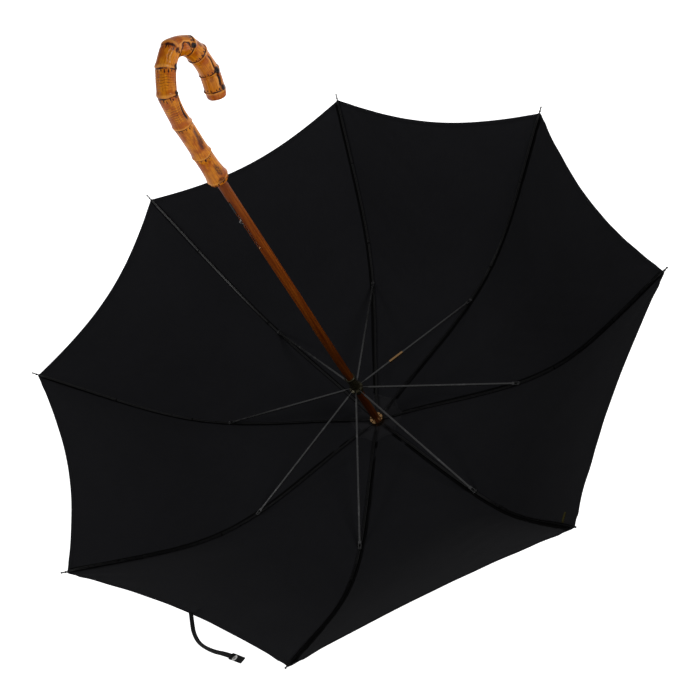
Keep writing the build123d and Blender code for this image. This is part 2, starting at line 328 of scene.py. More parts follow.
def ramp(tree, share, low, high, first=0.0, second=1.0):
    """A value that goes from first to second as share goes from low to high."""
    made = add(tree, "MapRange", Value=share)
    made.interpolation_type = "SMOOTHSTEP"
    for key, value in (("From Min", low), ("From Max", high), ("To Min", first), ("To Max", second)):
        made.inputs[key].default_value = value
    return made.outputs[0]


def layered(tree, tone, *layers):
    """A tone under layers of colour: each one's mask, low, high, most and colour."""
    for mask, low, high, most, colour in layers:
        tone = mixed(tree, ramp(tree, mask, low, high, 0.0, most), tone, colour)
    return tone


def object_place(tree, scale=(1, 1, 1), source=None):
    """The place in the object's own coordinates, or in a named mesh attribute, stretched."""
    if source:
        place = add(tree, "Attribute", {"attribute_name": source}).outputs["Vector"]
    else:
        place = add(tree, "TexCoord").outputs["Object"]
    return add(tree, "Mapping", Vector=place, Scale=scale).outputs[0]


def noise(tree, place, scale, detail=3.0, rough=0.55):
    return add(tree, "TexNoise", Vector=place, Scale=scale, Detail=detail, Roughness=rough).outputs[0]


def surface(tree, **sockets):
    for key, value in sockets.items():
        link(tree, value, tree.nodes["Principled BSDF"].inputs[key.replace("_", " ")])


def bumped(tree, height, distance, strength=1.0):
    made = add(tree, "Bump", Height=height, Distance=distance, Strength=strength)
    surface(tree, Normal=made.outputs[0])


def cane_material():
    """Lacquered whangee: honey gold with fibres, red-brown clouds and burnt scars, with painted shade and
    painted highlights from the cane's marks.
    """
    made, tree = shader("cane", Coat_Weight=0.13, Coat_Roughness=0.07, Specular_IOR_Level=0.1)
    grain = object_place(tree, source="grain")
    fibres = noise(tree, object_place(tree, (1, 1, 0.05), "grain"), 900, 4.0)
    clouds = noise(tree, grain, 55, 3.0, 0.6)
    stains = noise(tree, object_place(tree, (1, 1, 0.55), "grain"), 95, 4.0, 0.6)
    specks = noise(tree, grain, 700, 2.0, 0.7)
    gold = layered(
        tree,
        (0.540, 0.176, 0.0030),
        (clouds, 0.42, 0.6, 1.0, (0.360, 0.078, 0.0004)),
        (fibres, 0.40, 0.66, 0.62, (0.230, 0.045, 0.0016)),
        (stains, 0.56, 0.72, 0.6, (0.130, 0.018, 0.0010)),
        (specks, 0.66, 0.76, 0.45, (0.06, 0.012, 0.0015)),
    )
    pale_and_highlight, burn_and_shade = (add(tree, "Attribute", {"attribute_name": n}).outputs["Fac"] for n in ("pale_and_highlight", "burn_and_shade"))
    # paler gold where the pale mark is set: real pale buds, and painted highlights past joint ridges, on one
    # lip of each groove and beyond the knob
    gold = mixed(tree, sums(tree, "MULTIPLY", pale_and_highlight, 0.6), gold, (0.70, 0.32, 0.070))
    # brown to black where the dark mark is set: real burns, scars and dark joints, and painted shade in
    # grooves, creases and round the knob
    ragged = sums(tree, "ADD", burn_and_shade, sums(tree, "MULTIPLY", sums(tree, "SUBTRACT", specks, 0.5), 0.5))
    brown, black = (0.050, 0.008, 0.0015), (0.004, 0.0018, 0.0012)
    burnt_and_shaded = layered(tree, gold, (ragged, 0.12, 0.55, 1.0, brown), (ragged, 0.5, 0.95, 1.0, black))
    surface(tree, Base_Color=burnt_and_shaded)
    surface(tree, Roughness=ramp(tree, burn_and_shade, 0.2, 0.9, 0.34, 0.55))
    bumped(tree, sums(tree, "ADD", fibres, sums(tree, "MULTIPLY", specks, 0.5)), 0.00012, 0.6)
    return made


def wood_material():
    """Stained and polished shaft wood, red-brown, with long dark grain; painted shade darkens it towards the
    crown and makes it nearly black in its slots.
    """
    made, tree = shader("shaft_wood", Coat_Weight=0.06, Coat_Roughness=0.12, Specular_IOR_Level=0.12)
    streaks = noise(tree, object_place(tree, (1, 1, 0.025)), 420, 5.0, 0.6)
    clouds = noise(tree, object_place(tree, (1, 1, 0.12)), 60, 3.0)
    pores = noise(tree, object_place(tree, (1, 1, 0.06)), 1500, 2.0)
    place = add(tree, "SeparateXYZ", Vector=object_place(tree)).outputs
    handle_end, crown_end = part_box("shaft")[1].z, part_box("shaft")[0].z
    tone = layered(
        tree,
        (0.230, 0.056, 0.0050),
        (streaks, 0.35, 0.65, 1.0, (0.115, 0.020, 0.0014)),
        (clouds, 0.4, 0.7, 0.5, (0.115, 0.020, 0.002)),
        (pores, 0.62, 0.72, 0.6, (0.03, 0.006, 0.001)),
        # painted shade: the wood darkens towards the crown end
        (place["Z"], handle_end, crown_end, 0.7, (0.012, 0.003, 0.001)),
    )
    # painted shade: nearly black inside the slots, below the shaft's outer surface
    from_axis = add(tree, "VectorMath", {"operation": "LENGTH"})
    link(tree, object_place(tree, (1, 1, 0)), from_axis.inputs[0])
    outside = ramp(tree, from_axis.outputs["Value"], 6.6 * MM, 6.9 * MM)
    tone = mixed(tree, outside, (0.022, 0.002, 0.001), tone)
    surface(tree, Base_Color=tone)
    surface(tree, Roughness=ramp(tree, streaks, 0.3, 0.7, 0.28, 0.4))
    bumped(tree, sums(tree, "ADD", streaks, pores), 0.00006, 0.5)
    return made


def metal_material(name, tone, worn, metallic, roughness, wear=0.25, scale=260):
    """Metal with fine scratches, cloudy polish and paler worn spots."""
    made, tree = shader(name, Metallic=metallic)
    patches = noise(tree, object_place(tree), scale, 4.0, 0.65)
    scratches = noise(tree, object_place(tree, (1, 1, 0.12)), scale * 9, 2.0, 0.7)
    rubbed = ramp(tree, patches, 0.6 - wear * 0.2, 0.8, 0.0, wear)
    surface(tree, Base_Color=mixed(tree, rubbed, tone, worn))
    surface(tree, Roughness=ramp(tree, patches, 0.3, 0.7, roughness * 0.75, roughness * 1.3))
    bumped(tree, scratches, 0.00002, 0.5)
    return made


def cloth_material(name, thread, gap, pitch_across, sheen=0.02, depth=0.00008):
    """Plain weave in the mesh's cloth coordinates, with a faint change of tone between threads."""
    made, tree = shader(name, Roughness=0.9, Specular_IOR_Level=0.07)
    surface(tree, Sheen_Weight=sheen, Sheen_Roughness=0.45)
    place = add(tree, "Attribute", {"attribute_name": "cloth"}).outputs["Vector"]
    parts = add(tree, "SeparateXYZ", Vector=place).outputs
    turns = 2 * math.pi / pitch_across
    waves = [sums(tree, "SINE", sums(tree, "MULTIPLY", parts[k], turns)) for k in (0, 1)]
    weave = sums(tree, "MULTIPLY", waves[0], waves[1])
    slubs = noise(tree, add(tree, "Mapping", Vector=place, Scale=(1, 0.06, 1)).outputs[0], 700, 2.0)
    clouds = noise(tree, place, 14, 3.0)
    woven = mixed(tree, ramp(tree, weave, -0.6, 0.6), gap, thread)
    tone = layered(tree, woven, (slubs, 0.45, 0.75, 0.4, gap), (clouds, 0.35, 0.75, 0.25, gap))
    surface(tree, Base_Color=tone)
    bumped(tree, sums(tree, "ADD", weave, slubs), depth, 0.6)
    return made


metals = {  # tone, worn tone, metallic, roughness, wear, scale of the wear
    "dark_steel": ((0.0045, 0.0045, 0.005), (0.03, 0.03, 0.032), 0.1, 0.34),
    "brass": ((0.62, 0.36, 0.16), (0.95, 0.70, 0.42), 1.0, 0.12),
    "bright_steel": ((0.62, 0.61, 0.59), (0.8, 0.8, 0.79), 1.0, 0.2),
    "runner_metal": ((0.035, 0.030, 0.014), (0.16, 0.12, 0.06), 0.6, 0.24),
    # the stretchers' steel: a lighter copy of dark_steel standing for painted highlights, with more worn
    # spots
    "rubbed_and_highlit_steel": ((0.10, 0.10, 0.102), (0.30, 0.30, 0.305), 0.85, 0.26, 0.4, 60),
    "snap_steel": ((0.22, 0.215, 0.21), (0.42, 0.41, 0.40), 1.0, 0.3),
}
cloths = {  # thread, gap between threads, weave pitch, sheen
    "cover_fabric": ((0.0158, 0.0159, 0.0182), (0.0078, 0.0079, 0.0092), 0.9 * MM),
    "strap_fabric": ((0.0016, 0.0016, 0.0016), (0.0005, 0.0005, 0.0005), 1.6 * MM),
    "tab_fabric": ((0.075, 0.065, 0.012), (0.025, 0.02, 0.004), 0.7 * MM),
    "black_thread": ((0.007, 0.007, 0.0075), (0.002, 0.002, 0.002), 0.4 * MM),
    # the cover cloth painted lighter as light on the rosettes
    "rosette_cloth_lit": ((0.0235, 0.0230, 0.0255), (0.0135, 0.0135, 0.015), 1.1 * MM),
    # the cover cloth painted darker as shade, for the seams
    "seam_cloth_painted_shade": ((0.0022, 0.0022, 0.0024), (0.001, 0.001, 0.001), 0.9 * MM, 0.0),
}
materials = {"cane": cane_material(), "shaft_wood": wood_material()}
materials.update({name: metal_material(name, *look) for name, look in metals.items()})
materials.update({name: cloth_material(name, *look) for name, look in cloths.items()})
for part in frame["record"]["subparts"]:
    cad_piece = frame["nodes"][part["node"]]
    cad_piece.data.materials.clear()
    # the stretchers get the lighter steel as painted highlight; the ribs keep dark_steel
    is_stretcher = part["node"].startswith("stretcher_") and part["material_slot"] == "dark_steel"
    look = "rubbed_and_highlit_steel" if is_stretcher else part["material_slot"]
    cad_piece.data.materials.append(materials[look])

# ---- camera, light and floor
view_side = Vector((0.40804, -0.84804, -0.33815)).normalized()
view_forward = Vector((0.39328, 0.49753, -0.77317)).normalized()
view_up = view_side.cross(view_forward).normalized()
camera_data = bpy.data.cameras.new("camera")
camera_data.lens = 49.754
camera_data.sensor_width = 36.0
camera_data.clip_start = 0.01
camera = bpy.data.objects.new("camera", camera_data)
turned_view = Matrix((view_side, view_up, -view_forward)).transposed().to_4x4()
camera.matrix_world = Matrix.Translation((-0.6019, -0.8022, 0.7244)) @ turned_view
scene.collection.objects.link(camera)
scene.camera = camera
scene.view_settings.view_transform = "Standard"

world = bpy.data.worlds.new("studio")
world.use_nodes = True
sky = world.node_tree
heights = add(sky, "SeparateXYZ", Vector=add(sky, "TexCoord").outputs["Generated"])
horizon_glow, overhead_glow = 0.85, 0.24
studio_glow = ramp(sky, heights.outputs["Z"], -0.05, 0.6, horizon_glow, overhead_glow)
link(sky, studio_glow, sky.nodes["Background"].inputs["Strength"])
link(sky, (1.0, 1.0, 1.0), sky.nodes["Background"].inputs["Color"])
scene.world = world


def soft_light(name, place, target, size, power):
    data = bpy.data.lights.new(name, "AREA")
    data.shape, data.size, data.energy = "DISK", size, power
    lamp = bpy.data.objects.new(name, data)
    lamp.location = place
    lamp.rotation_mode = "QUATERNION"
    lamp.rotation_quaternion = (Vector(target) - Vector(place)).to_track_quat("-Z", "Y")
    scene.collection.objects.link(lamp)


soft_light("key", (-1.5, 2.0, 2.0), (0, 0, -0.1), 0.9, 15)
soft_light("fill", (0.5, -2.4, 1.9), (0, 0, -0.3), 1.4, 36)

materials["floor"], floor_tree = shader("floor", Roughness=0.9, Specular_IOR_Level=0.1)
floor_cloud = noise(floor_tree, object_place(floor_tree), 0.6, 2.0)
surface(
    floor_tree,
    Base_Color=mixed(floor_tree, floor_cloud, (0.9, 0.9, 0.895), (0.93, 0.93, 0.93)),
    Emission_Color=(1, 1, 1),
    Emission_Strength=1.0,
)
floor_half = 30.0
corners = [(x * floor_half, y * floor_half, floor_z) for x, y in ((-1, -1), (1, -1), (1, 1), (-1, 1))]
floor = mesh_object("floor", corners, [(0, 1, 2, 3)], "floor")


# ---- the cover
apex = np.array([6.5, -13.8]) * MM
apex_flat = np.array([13.0, -13.8]) * MM
eaves = np.array([50.0, -0.4]) * MM


def cover_profile(across):
    """Meridian of the cover as dense points, hem first; across is 0 at the rib and 1 mid-gore."""
    share = math.cos(pitch / 2) / math.cos(pitch / 2 * (1 - across))
    out = np.stack([np.sin(rib_slopes), -np.cos(rib_slopes)], axis=1) * (cover_gap + cover_thickness / 2)
    bow = (rib_bow + out) * (share, 1)
    back = hem_depth * (1 - (1 - across) ** 2) / np.linalg.norm(rib_bow[-1] - rib_bow[-2])
    bow[-1] += (bow[-2] - bow[-1]) * back
    curve = smooth_line([apex_flat, eaves * (share, 1), *bow], 500)
    return np.concatenate([[apex], curve])[::-1]


hem_rows = np.array([0, 0.3, 0.9, 2.2, 3.8, 5.4, 6.4, 6.9, 7.3, 7.9, 9.5, 13]) * MM
hem_stitch_row = 5
body_rows = 84
columns = 33
ties = {number: (333, 440) for number in range(1, rib_count + 1)}  # radii of the thread ties, mm
ties.update({1: (338, 446), 2: (294, 438), 3: (330, 431), 8: (329, 444)})
hidden_ties = [268, 505]  # radii where the cover is caught at the rib's joint and near its tip, mm
deep_sag, crown_sag = 5.5 * MM, 1.5 * MM
wave_height, tie_pull, seam_tuck, tip_crease = 0.28 * MM, 0.55 * MM, 0.5 * MM, 0.7 * MM
hem_fold = 0.55 * MM  # how much thicker the doubled hem is


def own_rib(gore, letter):
    """Which way round a half gore lies from its rib, and that rib's number."""
    return (1, gore) if letter == "a" else (-1, gore % rib_count + 1)


def fold_with(gore, letter, pieces):
    """Bakes the pieces' placement into their meshes; the rib's number, azimuth and pivot are worked out but
    not used.
    """
    turn, rib_number = own_rib(gore, letter)
    azimuth = rib_azimuth(rib_number)
    start = lifted(notch_pivot[None], azimuth)[0]
    for piece in pieces:
        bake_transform(piece)


def half_gore(number, letter):
    """Half of a gore's cloth: two layers, a folded hem, soft sag and pulls at its ties."""
    turn, rib_number = own_rib(number, letter)
    azimuth = rib_azimuth(rib_number)
    random = np.random.default_rng(seed + 2 * number + turn)
    across = np.linspace(0, 1, columns) ** 1.15
    rows = len(hem_rows) + body_rows
    grid = np.zeros((rows, columns, 3))
    run = np.zeros((rows, columns))
    for c, share in enumerate(across):
        profile = cover_profile(share)
        body = np.linspace(hem_rows[-1], lengths(profile)[-1], body_rows + 1)[1:]
        run[:, c] = np.concatenate([hem_rows, body])
        grid[:, c] = lifted(at_lengths(profile, run[:, c]), azimuth + turn * pitch / 2 * share)
    inward = unit(np.cross(np.gradient(grid, axis=0), np.gradient(grid, axis=1))) * turn
    for c in (0, -1):
        side = tangential(azimuth + turn * pitch / 2 * across[c])
        inward[:, c] -= (inward[:, c] @ side)[:, None] * side
    inward = unit(inward)
    if inward[..., 2].mean() < 0:
        inward = -inward
    radius = np.linalg.norm(grid[..., :2], axis=2)
    aside = radius * np.sin(across * pitch / 2)  # distance from the seam
    height = grid[..., 2] - crown_z
    slack = 1 - (1 - across) ** 2
    sag = slack * (deep_sag * bump(height - 0.12, 0.10) + crown_sag * bump(height - 0.03, 0.05))
    calm = (across * (1 - across) * 4) ** 1.5
    for _ in range(5):
        way = random.normal(size=2)
        phase = random.uniform(0, 2 * math.pi)
        length = random.uniform(0.09, 0.2)
        wave = np.sin((way[0] * aside + way[1] * run) * 2 * math.pi / length + phase)
        sag += wave_height * calm * wave
    rib_run = run[:, :1]
    for station in [*ties[rib_number], *hidden_ties]:
        away = rib_run - rib_run[np.argmin(abs(radius[:, 0] - station * MM))]
        pull = (aside / (7 * MM)) * np.exp(1 - aside / (7 * MM))
        sag += tie_pull * pull * bump(away, 16 * MM) * np.cos(away / (5.5 * MM))
    sag += seam_tuck * bump(aside, 1.6 * MM) * (radius > 0.03)
    tip_fan = np.arctan2(aside, run + 12 * MM)
    tip_away = np.hypot(aside, run + 12 * MM)
    sag += tip_crease * bump(tip_away, 70 * MM) * np.sin(tip_fan * 11) * np.minimum(1, aside / (9 * MM))
    middle = grid + inward * sag[..., None]
    hem = step_up(hem_width - run, 0.28 * MM)
    edge = np.clip(run / (0.9 * MM), 0.15, 1) ** 0.5
    half = cover_thickness / 2
    under = middle + inward * (half * edge + hem_fold * hem * edge)[..., None]
    over = middle - inward * (half * edge)[..., None]
    near, far = (under, over) if turn < 0 else (over, under)
    points, faces, rim = thin_shell(near, far)
    seam_rim = [v for v in rim if (v % (rows * columns)) >= columns]  # the hem itself stays round
    piece = mesh_object(f"cover_{number}_{letter}", points, faces, "cover_fabric", seam_rim)
    set_weave(piece, np.stack([turn * aside, run], axis=-1))
    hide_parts(f"gore_{number}_{letter}")
    line, face = middle[hem_stitch_row], inward[hem_stitch_row]
    threads = [stitch_row(line + face * (half + 0.62 * MM)), stitch_row(line - face * (half + 0.05 * MM))]
    stitches = sewn(f"hem_stitches_{number}_{letter}", joined(threads))
    fold_with(number, letter, (piece, stitches))
    width, length = float(aside.max()) * 1.02, float(run.max())
    return {"middle": middle, "inward": inward, "run": run, "aside": aside}


halves = {(gore, letter): half_gore(gore, letter) for gore in range(1, rib_count + 1) for letter in "ab"}


# ---- seams, ties and tips on each rib
rib_line = smooth_line([notch_pivot + (0.0147, 0.0032), *rib_bow], 400)
rib_across = np.gradient(rib_line, axis=0)
rib_out = unit(np.stack([rib_across[:, 1], -rib_across[:, 0]], axis=1))


narrow_seams = {2: 0.55, 3: 0.5}  # ribs whose seam is trimmed closer, and its share of the full width
seam_section = np.array([(-1.2, 2.3), (0.9, 1.9), (2.4, 1.3), (4.3, 0.5), (6.2, -0.2)]) * MM  # aside, outside
seam_half_thickness = 0.3 * MM


def rib_seam(number):
    """The seam's turned-in edges, sewn together and leaning beside the rib."""
    azimuth = rib_azimuth(number)
    random = np.random.default_rng(seed + 100 + number)
    lean = 1 if number % 2 else -1
    keep = np.arange(18, 396, 2)
    run = lengths(rib_line[keep])
    ripple = sum(
        random.normal() * np.sin(run * 2 * math.pi / random.uniform(0.02, 0.09) + random.uniform(0, 6))
        for _ in range(5)
    )
    share = narrow_seams.get(number, 1.0)
    section = seam_section * (share, 1)
    rows = []
    for k, (aside, outside) in enumerate(section):
        loose = ripple * MM * k / (len(section) - 1)
        line = lifted(rib_line[keep] + rib_out[keep] * (outside + 0.16 * loose)[:, None], azimuth)
        rows.append(line + lean * (aside + 0.1 * loose)[:, None] * tangential(azimuth))
    middle = np.stack(rows, axis=1)
    normal = unit(np.cross(np.gradient(middle, axis=0), np.gradient(middle, axis=1)))
    half = normal * seam_half_thickness
    points, faces, _ = thin_shell(middle + half, middle - half)
    # painted shade: the seam is cover cloth, made darker
    piece = mesh_object(f"seam_{number}", points, faces, "seam_cloth_painted_shade")
    set_weave(piece, np.stack(np.meshgrid(section[:, 0], run), axis=-1))
    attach(piece, f"rib_{number}")
    over = middle[:, 3] + normal[:, 3] * (0.35 * MM * np.sign(normal[:, 3, 2].mean()))
    sewing = sewn(f"seam_stitches_{number}", stitch_row(over), f"rib_{number}")


tip_binding = np.array([(517.5, 285.9), (526, 297)]) * MM  # where the tip's binding starts and ends


def wrap(centre, along, side, over, turns, span, reach, radius):
    """Thread wound round something: a helix."""
    steps = int(turns * 28)
    angle = np.linspace(0, turns * 2 * math.pi, steps)
    line = centre + np.outer(np.linspace(-span / 2, span / 2, steps), along)
    line += np.outer(np.cos(angle) * reach, side) + np.outer(np.sin(angle) * reach, over)
    return tube_parts(line, radius)


def rib_threads(number):
    """Ties that hold the cover to the rib, and the whipping at its tip."""
    azimuth = rib_azimuth(number)
    side = tangential(azimuth)
    parts = []
    for station in ties[number]:
        k = int(np.argmin(abs(rib_line[:, 0] - station * MM)))
        here, ahead, outside = lifted(np.stack([*rib_line[k : k + 2], rib_line[k] + rib_out[k]]), azimuth)
        along, over = unit(ahead - here), outside - here
        centre = here + over * 0.55 * MM
        parts.append(wrap(centre, along, side, over, 4.5, 2.6 * MM, 2.3 * MM, 0.34 * MM))
        knot = centre + side * 2.5 * MM - over * 0.6 * MM
        for middle, end in ((3, 5), (-2, -4)):  # mm along the rib
            tail = [knot, knot + along * middle * MM + side * 1.2 * MM, knot + along * end * MM]
            parts.append(tube_parts(smooth_line(tail, 10), 0.24 * MM))
    back, front = lifted(tip_binding, azimuth)
    along = unit(front - back)
    for place, turns, width in ((0.2, 5.5, 1.5), (0.52, 3.5, 1.35)):
        centre = back + (front - back) * place
        parts.append(wrap(centre, along, side, np.cross(side, along), turns, 2.2 * MM, width * MM, 0.3 * MM))
    sewn(f"rib_threads_{number}", joined(parts), f"rib_{number}")


for rib_number in range(1, rib_count + 1):
    rib_seam(rib_number)
    rib_threads(rib_number)


# ---- rosettes at the crown
def rosette(name, replaced, corner, low, high, sides, dip, lift, puff):
    """A disc of cloth round the crown, its edge turned up (lift 1) or down (lift -1)."""
    inner, corner, low, high, dip, puff = (value * MM for value in (5.4, corner, low, high, dip, puff))
    angle = whole_turn(192)
    sector = 2 * math.pi / sides
    phase = (angle - first_rib) % sector
    edge = corner * math.cos(sector / 2) / np.cos(phase - sector / 2)
    side_bow = np.sin(phase / sector * math.pi)
    edge -= dip * side_bow
    share = np.linspace(0, 1, 34)[:, None] ** 0.9
    radius = inner + (edge - inner) * share
    rise = low + (high - low) * share + puff * side_bow * np.sin(share * math.pi * 0.8)
    turned_in = 0.35 * MM * step_up(4 * MM - (edge - radius), 0.3 * MM)
    flat = np.stack([radius * np.cos(angle), radius * np.sin(angle)], axis=-1)
    bottom = crown_z + rise - 0.25 * MM - turned_in * (lift < 0)
    top = crown_z + rise + 0.25 * MM + turned_in * (lift > 0)
    under, over = (np.concatenate([flat, z[..., None]], axis=-1) for z in (bottom, top))
    points, faces, _ = thin_shell(over, under, ring=True)
    # painted light: the rosette is cover cloth, made lighter
    piece = mesh_object(name, points, faces, "rosette_cloth_lit")
    set_weave(piece, flat)
    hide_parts(replaced)
    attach(piece, "stick")
    level = int(np.argmin(abs((edge.mean() - radius.mean(axis=1)) - 3.2 * MM)))
    side_face = over if lift > 0 else under
    line = side_face[level] + (0, 0, 0.12 * MM * lift)
    threads = stitch_row(closed_loop(line), 2.4 * MM)
    sewing = sewn(name + "_stitches", threads, "stick")


# corner radius, heights at the middle and the edge, sides, how far the sides dip, lift, puff (mm)
rosette("inner_rosette_cloth", "inner_rosette", 50, -12.8, 0.5, 8, 2.2, 1, 1.0)
rosette("outer_rosette_cloth", "outer_rosette", 26, -15.5, -11.1, 24, -0.9, -1, 0.0)


# ---- handle
crook = [  # outward, height above the crown (mm)
    (0, 637), (-1, 690), (-1, 738), (5, 781), (26, 804),
    (48, 811), (70, 794), (77, 773), (78, 744), (68, 713),
]
cane_joints = [49, 100, 143, 174, 197, 227, 247, 277]
cane_rings = [-14, 5.6, *cane_joints, 302]
cane_step = 0.55 * MM
cane_girth = 12  # radius at which distances round the cane are measured (mm)
cane_least_radius = 11.6
# distances along the cane, and how much thicker than the least radius it is there (mm)
cane_swell = np.array([(0, 2.2), (6, 2.4), (26, 0.8), (60, 0.1), (224, 0.2), (246, 1.1), (300, 1.2)])
cane_grooves = [  # low, high, first direction, last direction, width, depth, darkness of the painted shade in it
    (108, 141, 84, 72, 1.5, 1.5, 0.95), (148, 174, 60, 66, 1.6, 1.5, 0.9),
    (58, 92, 92, 80, 3.6, 0.9, 0.46), (252, 273, 96, 92, 1.2, 0.9, 0.62),
    (280, 296, 80, 90, 1.6, 1.3, 0.9), (181, 192, 132, 138, 1.2, 0.6, 0.3),
]
cane_buds = [  # place, direction, length, width, height, darkness (pale when negative)
    (144.6, 76, 3.4, 2.8, 1.8, 1.0), (176.4, 76, 3.8, 2.7, 1.6, 1.0), (108, 79, 6.5, 3.6, 1.9, -0.9),
    (195.6, 97, 3.6, 2.6, -1.4, 0.5), (224.4, 92, 3.6, 2.8, 0.9, 0.95), (275.4, 92, 4.2, 3.0, 1.8, 1.05),
    (299, 96, 3.4, 2.6, 0.5, 0.9), (73, 86, 10, 4.6, 0.2, 0.42), (22, 100, 11, 4.0, 0.2, 0.4),
    (8, 117, 4.0, 5.0, 0.0, 0.4), (236, 120, 4.5, 3.4, 0.5, 0.36),
]
cane_wrinkles = [  # low, high, direction, width, strength
    (54, 92, 165, 13, 0.6), (103, 141, 148, 22, 1.0), (145, 174, 146, 22, 1.0), (230, 246, 100, 12, 0.5),
]
bore = [(7.1, 2.2), (7.6, 0.5)]  # radius and depth of the hole for the shaft, its floor first (mm)
tip_dome = [(0.86, 0.35), (0.6, 0.75), (0.3, 0.95)]  # share of the tip's radius, height (mm)


def cane_line(step):
    """The cane's centreline: nearly straight between its joints, bending at them."""
    dense = smooth_line(np.array(crook) * MM, 1500)
    total = lengths(dense)[-1]
    along = np.arange(0, total, step)
    along = np.append(along[along < total - step / 2], total)
    curved = at_lengths(dense, along)
    corners = np.array([0, *cane_joints, total / MM]) * MM
    corner_points = at_lengths(dense, corners)
    straight = np.stack([np.interp(along, corners, corner_points[:, k]) for k in (0, 1)], axis=1)
    line = 0.45 * curved + 0.55 * straight
    reach = int(round(5 * MM / step))
    window = np.hanning(2 * reach + 1)
    window /= window.sum()
    before = 2 * line[0] - line[reach:0:-1]
    after = 2 * line[-1] - line[-2 : -reach - 2 : -1]
    padded = np.concatenate([before, line, after])
    return along, np.stack([np.convolve(padded[:, k], window, "valid") for k in (0, 1)], axis=1)


class CaneSkin:
    """Radius, dark tone (burns, scars, dark joints and painted shade) and pale tone (pale marks and painted
    highlights) over the cane, by distance along it and direction round it.

    Lengths are in mm. Direction 0 is the inner side of the crook, 90 the side towards -Y.
    """

    def __init__(self, along, sides):
        self.s = along[:, None] + np.zeros(sides)
        self.turn = whole_turn(sides) + 0 * self.s
        self.radius = np.full_like(self.s, cane_least_radius)
        self.burn_and_shade = np.zeros_like(self.s)
        self.pale_and_highlight = np.zeros_like(self.s)

    def arc(self, degrees):
        """Distance round the cane from a direction."""
        return ((self.turn - np.radians(degrees) + math.pi) % (2 * math.pi) - math.pi) * cane_girth

    def darken(self, amount):
        self.burn_and_shade = np.maximum(self.burn_and_shade, amount)

    def add_pale_and_highlight(self, amount):
        self.pale_and_highlight = np.maximum(self.pale_and_highlight, amount)

    def groove(self, low, high, start, end, width, depth, dark):
        """A lengthwise groove from one direction to another, with raised lips; painted shade inside it and a
        painted highlight on one lip.
        """
        rise = 1.4
        inside = step_up(self.s - low, rise) * step_up(high - self.s, rise)
        share = np.clip((self.s - low) / (high - low), 0, 1)
        aside = self.arc(start + (end - start) * share + 5 * np.sin(share * 5))
        self.radius -= depth * inside * bump(aside, width)
        lips = bump(aside - 2.1 * width, width) + bump(aside + 2.1 * width, width)
        self.radius += 0.35 * depth * inside * lips
        # painted shade in the groove and a painted highlight on one lip
        self.darken(dark * inside * bump(aside - 0.2 * width, width * 1.15))
        self.add_pale_and_highlight(0.8 * inside * bump(aside + 2.0 * width, width * 0.8))

    def bud(self, place, degrees, long, wide, height, dark):
        """A bud or branch scar with a sunken middle."""
        along, aside = self.s - place, self.arc(degrees)
        spot = bump(along, long) * bump(aside, wide)
        pit = bump(along, long * 0.4) * bump(aside, wide * 0.4)
        self.radius += height * (spot - 0.45 * pit)
        if dark > 0:
            self.darken(dark * np.minimum(1, spot * 1.5))
        else:
            self.add_pale_and_highlight(-dark * spot)

    def joint(self, ring, random):
        """A joint of the cane: a low ridge, a dark line and a ring of root scars before it, and a painted
        highlight just past the ridge.
        """
        tilt = random.uniform(0, 2 * math.pi)
        off = self.s - ring - 0.8 * np.cos(self.turn - tilt)
        off -= 0.3 * np.sin(3 * self.turn + tilt)
        lip = np.where(off < 0, bump(off, 0.9), bump(off, 2.6))
        uneven = 1 + 0.25 * np.cos(2 * self.turn + tilt) + 0.15 * np.cos(5 * self.turn - tilt)
        self.radius += 0.75 * lip * uneven
        self.radius -= 0.4 * bump(off + 1.6, 0.7)
        broken = 0.62 + 0.25 * np.sin(self.turn * 4 + tilt * 3) + 0.13 * np.sin(self.turn * 11 + tilt)
        self.darken(broken * bump(off + 1.3, 0.75))
        # painted highlight: a pale band just past the ridge
        self.add_pale_and_highlight(0.75 * bump(off - 0.5, 1.1))
        count = int(random.integers(15, 19))
        for scar in range(count):
            centre = math.degrees((scar + random.uniform(-0.3, 0.3)) * 2 * math.pi / count)
            reach, width = random.uniform(1.0, 2.2), random.uniform(0.55, 0.95)
            below = off + random.uniform(2.6, 4.2)
            spot = bump(below, reach) * bump(self.arc(centre), width)
            self.radius -= 0.34 * spot
            self.radius += 0.16 * bump(below, reach * 1.8) * bump(self.arc(centre), width * 2)
            self.darken(random.uniform(0.7, 1.25) * spot)

    def wrinkles(self, low, high, degrees, wide, strength):
        """Fine creases across the cane, with painted shade in them."""
        inside = bump((self.s - (low + high) / 2) / ((high - low) / 2), 0.9)
        face = bump(self.arc(degrees), wide)
        waver = self.s + 0.8 * np.sin(self.turn * 2 + 0.5)
        waver += 0.35 * np.sin(self.turn * 7 + self.s / 5)
        crease = np.maximum(0, np.sin(waver * 2 * math.pi / 2.9)) ** 2
        crease *= 0.86 + 0.14 * np.sin(self.turn * 9 + self.s / 1.9)
        self.radius -= 0.26 * strength * inside * face * crease
        # painted shade in the creases
        self.darken(0.6 * strength * inside * face * crease)

    def knob(self, place, degrees, reach):
        """A swollen bud with a crease round its outer side: painted shade in the crease and a painted
        highlight beyond it.
        """
        away = np.hypot(self.s - place, self.arc(degrees))
        outer = step_up(self.arc(degrees) + 2, 1.2)
        away = away + 0.9 * np.sin(self.turn * 9) + 0.5 * np.sin(self.s / 1.3)
        self.radius += 2.3 * bump(away, reach * 0.75)
        self.radius -= 1.0 * bump(away - reach, 1.2) * outer
        # painted shade in the crease, painted highlight beyond it
        self.darken(0.85 * bump(away - reach, 0.9) * outer)
        self.add_pale_and_highlight(0.9 * bump(away - (reach + 2.6), 1.2) * outer)


